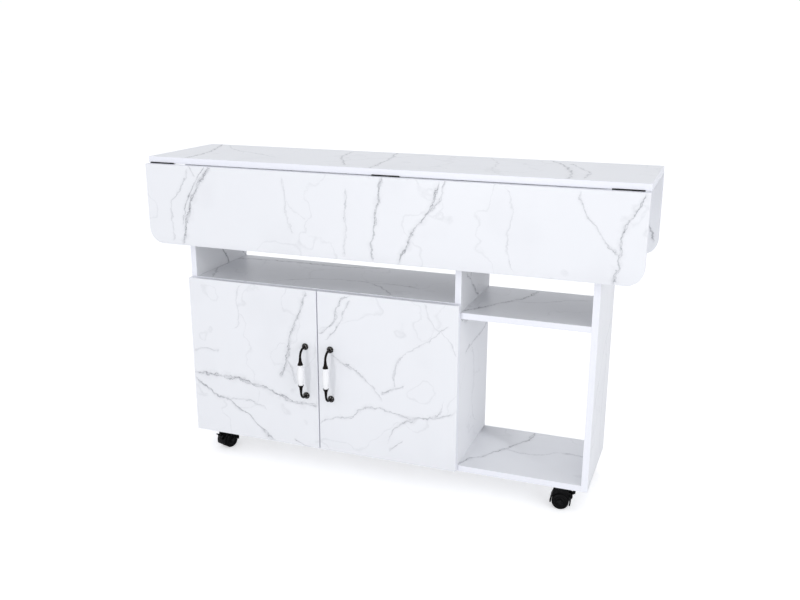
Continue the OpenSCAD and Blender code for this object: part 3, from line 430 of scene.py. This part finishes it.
def bevel_edges(piece, wanted, width, segments=2):
    """Bevels the edges for which wanted(edge) is true."""
    activate(piece)
    bpy.ops.object.mode_set(mode="EDIT")
    mesh = bmesh.from_edit_mesh(piece.data)
    for edge in mesh.edges:
        edge.select_set(len(edge.link_faces) == 2 and wanted(edge))
    bmesh.update_edit_mesh(piece.data)
    bpy.ops.mesh.bevel(offset=width, segments=segments, affect="EDGES", clamp_overlap=True)
    bpy.ops.object.mode_set(mode="OBJECT")


def board(node, body):
    """A printed board with rounded, banded edges, in place of a CAD node."""
    low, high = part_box(node)
    thin = min(range(3), key=lambda axis: high[axis] - low[axis])
    piece = merged_copy(node, node + "_board")

    def outer(face):
        """True for a face on the board's outline, false for a hole or a groove."""
        normal, centre = face.normal, face.calc_center_median()
        for axis in range(3):
            if abs(normal[axis]) > 0.99:
                return min(centre[axis] - low[axis], high[axis] - centre[axis]) < 0.02 * MM
        # the only slanted outline is a leaf's rounded corner, at its lower end
        return "leaf" in node and centre.z < low.z + (high.z - low.z) / 2

    def arris(edge):
        """True for an outer edge where two outer faces meet at an angle."""
        one, two = edge.link_faces
        return outer(one) and outer(two) and one.normal.dot(two.normal) < 0.5

    bevel_edges(piece, arris, ARRIS)
    piece.data.materials.clear()
    piece.data.materials.append(MARBLES[node])
    piece.data.materials.append(EDGE_BAND)
    for face in piece.data.polygons:
        face.material_index = 0 if abs(face.normal[thin]) > 0.9 else 1
    activate(piece)
    bpy.ops.object.shade_smooth_by_angle(angle=math.radians(20))
    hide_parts(node)
    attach(piece, body)
    return piece


BODY_OF = {node: body for body, nodes in frame["record"]["behaviour"]["bodies"].items()
           for node in nodes}
for node in VEINS:
    made = board(node, BODY_OF[node])
    print(made.name, len(made.data.polygons), "faces")

# %% [markdown]
# ## Metals and plastics
# Nickel-plated steel is bright with a slight satin; the castors are black nylon with a moulded
# skin; the hinges are black powder-coated steel, which has a fine orange-peel grain. These parts
# are small, so their patterns are drawn at real size and stay gentle.

# %% Finishes of the fittings


def grain(name, colour, roughness, metallic, size_mm, depth_mm, spread=0.08, gloss=0.5):
    """A finish with a noise of one real size in its bump and in its roughness."""
    made, tree, shader, place = material(name, colour, roughness, metallic)
    shader.inputs["Specular IOR Level"].default_value = gloss
    noise = add(tree, "ShaderNodeTexNoise", {"Vector": place, "Scale": 1 / size_mm,
                "Detail": 3.0}).outputs["Fac"]
    rough = add(tree, "ShaderNodeMapRange", {"Value": noise, "To Min": roughness - spread,
                "To Max": roughness + spread}).outputs[0]
    bump = add(tree, "ShaderNodeBump", {"Height": noise, "Strength": 0.3,
               "Distance": depth_mm * MM})
    tree.links.new(rough, shader.inputs["Roughness"])
    tree.links.new(bump.outputs[0], shader.inputs["Normal"])
    return made


NICKEL = grain("nickel-plated steel", "#C4C4C2", 0.28, 1.0, 3.0, 0.02)
ZINC = grain("cast zinc", "#B4B5B7", 0.42, 1.0, 1.5, 0.05)
# black steel and nylon with a dull surface send back little of a white room
POWDER = grain("black powder-coated steel", "#0C0C0E", 0.45, 0.0, 0.8, 0.05, gloss=0.2)
NYLON = grain("black moulded nylon", "#070708", 0.4, 0.0, 1.2, 0.03, gloss=0.12)
TREAD = grain("black nylon tread", "#09090A", 0.5, 0.0, 2.0, 0.05, gloss=0.12)
BRONZE = grain("antique bronze", "#15110F", 0.27, 0.9, 1.5, 0.08)
# the high spots of an antique finish are rubbed back to the metal; this lighter metal on the
# rosettes' ribs is partly real wear and partly a painted highlight
RUBBED_AND_HIGHLIGHT = grain("rubbed bronze and painted highlight", "#8A8886", 0.25, 1.0, 1.5, 0.05)
CERAMIC = grain("glazed ceramic", "#F7F7F8", 0.12, 0.0, 12.0, 0.05, spread=0.02)
BEECH = grain("turned beech", "#CFA878", 0.6, 0.0, 2.0, 0.05)
HARDBOARD = grain("white-faced hardboard", "#ECEEF3", 0.5, 0.0, 4.0, 0.05)
print("finishes ready")

# %% Give every CAD node its finish
FINISH = {
    "black_steel": POWDER, "plain_steel": NICKEL, "zinc": ZINC, "beech": BEECH,
    "bronze": BRONZE, "ceramic": CERAMIC, "black_plastic": NYLON, "wheel_plastic": TREAD,
    "back_board": HARDBOARD, "marble_laminate": EDGE_BAND,
}
for part in frame["record"]["subparts"]:
    node = frame["nodes"][part["node"]]
    node.data.materials.clear()
    node.data.materials.append(FINISH[part["material_slot"]])

# %% [markdown]
# ## Fittings with eased edges
# A pressed plate, a cast cam or a moulded housing never has a knife edge, and the thin line of
# light on a rounded edge is what makes it look real. The CAD shapes of these parts are right, so
# each is a merged copy of its node with a small bevel on the sharp edges only. A bevel modifier
# with an angle limit finds those edges by itself, and is then applied.

# %% Ease the edges of a fitting


def eased(node, name, finish, width):
    """A merged copy of a CAD node with its sharp edges rounded."""
    piece = merged_copy(node, name)
    piece.data.materials.clear()
    piece.data.materials.append(finish)
    activate(piece)
    ease = piece.modifiers.new("ease", "BEVEL")
    ease.width = width
    ease.segments = 2
    ease.limit_method = "ANGLE"
    ease.angle_limit = math.radians(35)
    ease.use_clamp_overlap = True
    bpy.ops.object.modifier_apply(modifier=ease.name)
    bpy.ops.object.shade_smooth_by_angle(angle=math.radians(35))
    return piece


def stand_for(piece, node):
    """Lets a finished piece stand for a CAD node on the node's own body."""
    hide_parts(node)
    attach(piece, BODY_OF[node])


SLOT_OF = {part["node"]: part["material_slot"] for part in frame["record"]["subparts"]}
EASED = {"black_steel": 0.25 * MM, "zinc": 0.3 * MM, "beech": 0.6 * MM,
         "black_plastic": 0.35 * MM, "wheel_plastic": 0.4 * MM, "plain_steel": 0.12 * MM}
WITH_OWN_MODEL = ("screws", "pull", "board")
for node, slot in SLOT_OF.items():
    if slot in EASED and not any(word in node for word in WITH_OWN_MODEL):
        stand_for(eased(node, node + "_eased", FINISH[slot], EASED[slot]), node)

# %% [markdown]
# ## Wood screws
# The plates are held by countersunk wood screws with a cross recess. One screw is modelled: a
# cylinder for the shank, its upper ring spread to the head's cone, ridges for the thread, a point,
# and a cross cut by a boolean. Each CAD screw is a solid of its own, so its box says where the
# screw sits, and the widest end of that box says where its head is.

# %% Model one screw, head up, with its head's face at the origin
HEAD_R, HEAD_T, SHANK_R, SCREW_L = 3.4 * MM, 1.4 * MM, 1.75 * MM, 12 * MM


def grow(steps):
    """Extrudes the selected face or ring upwards in steps of (rise, scale)."""
    for rise, scale in steps:
        bpy.ops.mesh.extrude_region_move(TRANSFORM_OT_translate={"value": (0, 0, rise)})
        mesh = bmesh.from_edit_mesh(bpy.context.edit_object.data)
        spots = [v.co for v in mesh.verts if v.select]
        middle = sum(spots, Vector()) / len(spots)
        bpy.ops.transform.resize(value=(scale, scale, 1), center_override=middle)


def select_faces(piece, wanted):
    """In edit mode, selects only the faces for which wanted(face) is true."""
    bpy.ops.mesh.select_mode(type="FACE")
    bpy.ops.mesh.select_all(action="DESELECT")
    mesh = bmesh.from_edit_mesh(piece.data)
    for face in mesh.faces:
        face.select_set(wanted(face))
    bmesh.update_edit_mesh(piece.data)


def one_screw():
    """A countersunk screw with a thread and a cross recess."""
    deselect()
    bpy.ops.mesh.primitive_cylinder_add(vertices=16, radius=0.3 * MM, depth=0.4 * MM,
                                        location=(0, 0, 0.2 * MM - SCREW_L))
    screw = bpy.context.active_object
    bpy.ops.object.mode_set(mode="EDIT")
    select_faces(screw, lambda face: face.normal.z > 0.9)
    grow([(1.6 * MM, 4.6)])
    for _ in range(5):          # thread ridges, 1.5 mm apart
        grow([(0.5 * MM, 1.24), (0.3 * MM, 1.0), (0.5 * MM, 1 / 1.24), (0.2 * MM, 1.0)])
    grow([(1.1 * MM, SHANK_R / (1.38 * MM)), (HEAD_T * 0.9, 0.93 * HEAD_R / SHANK_R),
          (HEAD_T * 0.1, 1.0)])
    bpy.ops.object.mode_set(mode="OBJECT")
    # the cross: two thin boxes, one after the other, cut out of the head
    for turn in (0, math.pi / 2):
        deselect()
        bpy.ops.mesh.primitive_cube_add(size=1, location=(0, 0, 0), rotation=(0, 0, turn),
                                        scale=(3.6 * MM, 0.7 * MM, 2.0 * MM))
        arm = bpy.context.active_object
        bpy.ops.object.transform_apply(location=True, rotation=True, scale=True)
        activate(screw)
        recess = screw.modifiers.new("recess", "BOOLEAN")
        recess.object, recess.operation, recess.solver = arm, "DIFFERENCE", "EXACT"
        bpy.ops.object.modifier_apply(modifier=recess.name)
        bpy.data.objects.remove(arm)
    bpy.ops.object.transform_apply(location=True, rotation=True, scale=True)
    bpy.ops.object.shade_smooth_by_angle(angle=math.radians(30))
    print("screw:", len(screw.data.polygons), "faces")
    return screw


SCREW = one_screw()

# %% Put a copy where each CAD screw is


def islands(node):
    """For each loose solid of a CAD node, its head's middle and the way the head faces."""
    skin = merged_copy(node, "skin")
    mesh = bmesh.new()
    mesh.from_mesh(skin.data)
    left = set(mesh.verts)
    while left:
        island, front = set(), [left.pop()]
        while front:
            vert = front.pop()
            island.add(vert)
            for edge in vert.link_edges:
                other = edge.other_vert(vert)
                if other in left:
                    left.discard(other)
                    front.append(other)
        spots = [v.co.copy() for v in island]
        low = Vector(min(s[i] for s in spots) for i in range(3))
        high = Vector(max(s[i] for s in spots) for i in range(3))
        axis = max(range(3), key=lambda i: high[i] - low[i])
        middle = (low + high) / 2
        reach = {}
        for end in (low, high):
            near = [s for s in spots if abs(s[axis] - end[axis]) < 0.1 * MM]
            reach[end[axis]] = max((s - middle).length for s in near)
        head = max(reach, key=reach.get)
        middle[axis] = head
        outward = Vector((0, 0, 0))
        outward[axis] = 1 if head == high[axis] else -1
        yield middle, outward
    mesh.free()
    bpy.data.objects.remove(skin)


def screws(node):
    """All screws of a CAD node as one piece of copied screws."""
    copies = []
    # in the order of their places, so that each run turns each recess by the same angle
    in_order = sorted(islands(node), key=lambda found: [round(v / MM, 2) for v in found[0]])
    for place, outward in in_order:
        twin = bpy.data.objects.new("screw", SCREW.data.copy())
        bpy.context.scene.collection.objects.link(twin)
        turn = Vector((0, 0, 1)).rotation_difference(outward).to_matrix().to_4x4()
        spin = Matrix.Rotation(len(copies) * 0.7, 4, "Z")      # no two recesses line up
        twin.matrix_world = Matrix.Translation(place) @ turn @ spin
        copies.append(twin)
    deselect()
    for twin in copies:
        twin.select_set(True)
    bpy.context.view_layer.objects.active = copies[0]
    bpy.ops.object.join()
    piece = bpy.context.active_object
    bpy.ops.object.transform_apply(location=True, rotation=True, scale=True)
    piece.name = node + "_cross"
    piece.data.materials.clear()
    piece.data.materials.append(NICKEL)
    stand_for(piece, node)
    return len(copies)


for node in ("frame_screws", "front_leaf_screws", "back_leaf_screws", "left_cup_screws",
             "right_cup_screws"):
    print(node, screws(node), "screws")
bpy.data.objects.remove(SCREW)

# %% [markdown]
# ## The pulls
# Each pull is an antique-bronze casting in two halves with a ceramic grip between them. A half
# starts at a small rosette on the door, sweeps forward and down in a quarter circle, and widens
# into a bell that holds the grip's end. That path is made as a smith would: a rod is spun round
# the bend's centre, and its end is then drawn out ring by ring to the bell's profile. The upper
# half of the left pull is modelled, and the other three are mirrored or moved copies.

# %% Rosette: a dome with a twisted fan of ribs
ROSETTE_R, ARM_R, BEND_R, BELL_R = 8.5 * MM, 2.9 * MM, 19 * MM, 7 * MM
RIB_HEIGHT = 0.35 * MM
low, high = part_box("left_pull_upper_arm")
PULL_X = (low[0] + high[0]) / 2
DOOR_Y = high[1]                        # the door's face
GRIP_Y = low[1] + BELL_R                # the grip's axis
FOOT_Z = high[2] - ROSETTE_R
BELL_Z = low[2]                         # the bell's open end


def rosette():
    """The upper rosette of the left pull, facing -Y."""
    deselect()
    bpy.ops.mesh.primitive_cylinder_add(vertices=32, radius=ROSETTE_R, depth=1.6 * MM,
                                        location=(PULL_X, DOOR_Y - 0.8 * MM, FOOT_Z),
                                        rotation=(math.pi / 2, 0, 0))
    piece = bpy.context.active_object
    piece.data.materials.append(BRONZE)
    piece.data.materials.append(RUBBED_AND_HIGHLIGHT)
    bpy.ops.object.transform_apply(location=True, rotation=True, scale=True)
    bpy.ops.object.mode_set(mode="EDIT")
    select_faces(piece, lambda face: face.normal.y < -0.9)
    middle = (PULL_X, DOOR_Y, FOOT_Z)
    for rise, inset, turn in ((1.0, 0.9, 0), (1.0, 1.3, 0.14), (0.6, 1.6, 0.18), (0.3, 1.3, 0.2)):
        bpy.ops.mesh.inset(thickness=inset * MM, depth=0)
        bpy.ops.transform.translate(value=(0, -rise * MM, 0))
        bpy.ops.transform.rotate(value=turn, orient_axis="Y", center_override=middle)
    # one face in four of each ring is raised, which leaves a fan of curved ribs
    mesh = bmesh.from_edit_mesh(piece.data)
    rings = {}
    for face in mesh.faces:
        centre = face.calc_center_median()
        reach = math.hypot(centre.z - FOOT_Z, centre.x - PULL_X)
        turn = math.atan2(centre.z - FOOT_Z, centre.x - PULL_X)
        if 3.4 * MM < reach < 7.0 * MM and len(face.verts) == 4:
            rings.setdefault(round(reach / MM * 2), []).append((turn, face))
    ribs = set()
    for ring in rings.values():
        ring.sort(key=lambda pair: pair[0])
        ribs |= {face for turn, face in ring[::4]}
    select_faces(piece, lambda face: face in ribs)
    # the ribs take the lighter rubbed metal, partly wear and partly a painted highlight
    for face in ribs:
        face.material_index = 1
    bpy.ops.mesh.extrude_region_shrink_fatten(TRANSFORM_OT_shrink_fatten={"value": RIB_HEIGHT})
    bpy.ops.object.mode_set(mode="OBJECT")
    return piece


# %% Arm and bell


def bent_arm():
    """The rod from the rosette, its quarter bend and the bell."""
    deselect()
    stem_end = GRIP_Y + BEND_R          # where the bend starts
    bpy.ops.mesh.primitive_cylinder_add(
        vertices=24, radius=ARM_R, depth=DOOR_Y - 3.5 * MM - stem_end,
        location=(PULL_X, (DOOR_Y - 3.5 * MM + stem_end) / 2, FOOT_Z),
        rotation=(math.pi / 2, 0, 0))
    piece = bpy.context.active_object
    piece.data.materials.append(BRONZE)
    bpy.ops.object.transform_apply(location=True, rotation=True, scale=True)
    bpy.ops.object.mode_set(mode="EDIT")
    select_faces(piece, lambda face: face.normal.y < -0.9)
    bpy.ops.mesh.delete(type="ONLY_FACE")
    bpy.ops.mesh.select_mode(type="EDGE")
    mesh = bmesh.from_edit_mesh(piece.data)
    for edge in mesh.edges:
        edge.select_set(edge.is_boundary)
    bmesh.update_edit_mesh(piece.data)
    centre = (PULL_X, stem_end, FOOT_Z - BEND_R)
    bpy.ops.mesh.spin(steps=12, angle=-math.pi / 2, center=centre, axis=(1, 0, 0))
    # from the bend's end the ring is drawn down to the bell, as (height above it, radius)
    bell = [(20.0, 3.05), (16.0, 3.3), (12.0, 3.7), (8.5, 4.2), (6.0, 4.9), (4.0, 5.9),
            (2.6, 6.4), (1.5, 6.7), (1.1, 7.0), (0.0, 7.0)]
    height, radius = FOOT_Z - BEND_R, ARM_R
    for above, wide in bell:
        step = BELL_Z + above * MM
        if step < height:
            grow([(step - height, wide * MM / radius)])
            height, radius = step, wide * MM
    bpy.ops.mesh.edge_face_add()
    bpy.ops.mesh.inset(thickness=BELL_R - 5.5 * MM, depth=0)
    bpy.ops.transform.translate(value=(0, 0, 2.8 * MM))
    bpy.ops.object.mode_set(mode="OBJECT")
    return piece


rose, rod = rosette(), bent_arm()
print("arm's foremost point", round((min(v.co.y for v in rod.data.vertices) - GRIP_Y) / MM, 1),
      "mm from the grip's axis")
deselect()
rose.select_set(True)
rod.select_set(True)
bpy.context.view_layer.objects.active = rod
bpy.ops.object.join()
UPPER_ARM = bpy.context.active_object
bpy.ops.object.mode_set(mode="EDIT")
bpy.ops.mesh.select_all(action="SELECT")
bpy.ops.mesh.remove_doubles(threshold=0.01 * MM)
bpy.ops.mesh.normals_make_consistent(inside=False)
bpy.ops.object.mode_set(mode="OBJECT")
bpy.ops.object.shade_smooth_by_angle(angle=math.radians(32))
print("pull half:", len(UPPER_ARM.data.polygons), "faces")

# %% Ceramic grip


def ceramic_grip():
    """The left pull's grip: a barrel that swells towards its middle."""
    low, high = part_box("left_pull_grip")
    end_r = 5.4 * MM
    bulge = (high[0] - low[0]) / 2 - end_r
    deselect()
    bpy.ops.mesh.primitive_circle_add(vertices=40, radius=end_r, fill_type="NGON",
                                      location=(PULL_X, GRIP_Y, low[2]))
    piece = bpy.context.active_object
    bpy.ops.object.transform_apply(location=True, rotation=True, scale=True)
    bpy.ops.object.mode_set(mode="EDIT")
    bpy.ops.mesh.select_all(action="SELECT")
    steps, length, radius = 18, high[2] - low[2], end_r
    for step in range(1, steps + 1):
        along = -1 + 2 * step / steps
        wide = end_r + bulge * max(0.0, math.cos(math.pi / 2 * along)) ** 1.3
        grow([(length / steps, wide / radius)])
        radius = wide
    bpy.ops.mesh.select_all(action="SELECT")
    bpy.ops.mesh.normals_make_consistent(inside=False)
    bpy.ops.object.mode_set(mode="OBJECT")
    piece.data.materials.clear()
    piece.data.materials.append(CERAMIC)
    bpy.ops.object.shade_smooth_by_angle(angle=math.radians(40))
    return piece


GRIP = ceramic_grip()

# %% Copy the halves and the grip to their places
PULL_MID_Z = sum(corner[2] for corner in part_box("left_pull_grip")) / 2
RIGHT_X = sum(corner[0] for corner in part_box("right_pull_grip")) / 2


def pull_copy(model, node, flipped):
    """A copy of a modelled half or grip, flipped top to bottom and moved to its node."""
    piece = bpy.data.objects.new(node + "_model", model.data.copy())
    bpy.context.scene.collection.objects.link(piece)
    aside = (RIGHT_X if node.startswith("right") else PULL_X) - PULL_X
    move = Matrix.Translation((aside, 0, 0))
    if flipped:
        move = move @ Matrix.Translation((0, 0, 2 * PULL_MID_Z)) @ Matrix.Scale(-1, 4, (0, 0, 1))
    piece.matrix_world = move
    activate(piece)
    bpy.ops.object.transform_apply(location=True, rotation=True, scale=True)
    if flipped:
        bpy.ops.object.mode_set(mode="EDIT")
        bpy.ops.mesh.select_all(action="SELECT")
        bpy.ops.mesh.normals_make_consistent(inside=False)
        bpy.ops.object.mode_set(mode="OBJECT")
    stand_for(piece, node)


for side in ("left", "right"):
    pull_copy(UPPER_ARM, side + "_pull_upper_arm", False)
    pull_copy(UPPER_ARM, side + "_pull_lower_arm", True)
    pull_copy(GRIP, side + "_pull_grip", False)
bpy.data.objects.remove(UPPER_ARM)
bpy.data.objects.remove(GRIP)
print("two pulls, their screws", round((FOOT_Z - PULL_MID_Z) * 2000), "mm apart")

# %% [markdown]
# ## Floor and light
# The photograph is a catalogue cut-out: the ground is pure white and the light soft. A small lamp
# stands in front, a little to the left and hardly above the doors, because each pull throws a
# narrow shadow just to its right. A broad lamp on the right lights the open end, and the sky
# fills the rest, a little more from its horizon than from overhead. The lamps' strengths were
# found by rendering each light alone and adding up.
# The floor is a white sheet. For the camera alone it glows a little, so that it reads as white
# and still holds a soft shadow.

# %% Studio
FLOOR_SIZE = 40.0
bpy.ops.mesh.primitive_plane_add(size=FLOOR_SIZE, location=(0, 0, 0))
floor = bpy.context.active_object
floor.name = "floor"
GLOW = 0.45             # what the camera sees of the floor's own light
floor_white, tree, shader, place = material("studio floor", "#F4F4F5", 0.9)
seen = add(tree, "ShaderNodeLightPath").outputs["Is Camera Ray"]
glow = add(tree, "ShaderNodeEmission")
glow_amount = add(tree, "ShaderNodeMath", {0: seen, 1: GLOW}, operation="MULTIPLY")
tree.links.new(glow_amount.outputs[0], glow.inputs["Strength"])
both = add(tree, "ShaderNodeAddShader", {0: shader.outputs[0], 1: glow.outputs[0]})
tree.links.new(both.outputs[0], tree.nodes["Material Output"].inputs["Surface"])
floor.data.materials.append(floor_white)

world = bpy.data.worlds.new("studio")
bpy.context.scene.world = world
world.use_nodes = True
tree = world.node_tree
paths = add(tree, "ShaderNodeLightPath").outputs
direct = add(tree, "ShaderNodeMath", {0: paths["Is Camera Ray"], 1: paths["Is Glossy Ray"]},
             operation="MAXIMUM").outputs[0]
direct = add(tree, "ShaderNodeMath", {0: direct, 1: paths["Is Transmission Ray"]},
             operation="MAXIMUM").outputs[0]
# the sky is a little brighter near the horizon, which lights the open bays
heading = add(tree, "ShaderNodeTexCoord").outputs["Generated"]
height = add(tree, "ShaderNodeSeparateXYZ", {"Vector": heading}).outputs["Z"]
height = add(tree, "ShaderNodeMath", {0: height}, operation="ABSOLUTE").outputs[0]
sky = add(tree, "ShaderNodeMapRange", {"Value": height, "From Max": 0.7, "To Min": 0.95,
          "To Max": 0.71}).outputs[0]
strength = add(tree, "ShaderNodeMapRange", {"Value": direct, "To Min": sky, "To Max": 1.04})
backdrop = tree.nodes["Background"]
backdrop.inputs["Color"].default_value = (0.97, 0.985, 1.02, 1)
tree.links.new(strength.outputs[0], backdrop.inputs["Strength"])


def lamp(name, place, aim, size, power):
    """A square soft lamp that points at aim."""
    light = bpy.data.objects.new(name, bpy.data.lights.new(name, "AREA"))
    bpy.context.scene.collection.objects.link(light)
    light.data.size = size
    light.data.energy = power
    light.location = place
    light.rotation_mode = "QUATERNION"
    light.rotation_quaternion = (Vector(aim) - Vector(place)).to_track_quat("-Z", "Y")


lamp("key", (-0.85, -4.3, 0.95), (-0.15, -0.13, 0.5), 0.4, 26)
lamp("fill", (3.4, -2.0, 1.4), (0, 0, 0.4), 2.5, 33)
bpy.context.scene.view_settings.view_transform = "Standard"
print("floor", FLOOR_SIZE, "m wide, two lamps")
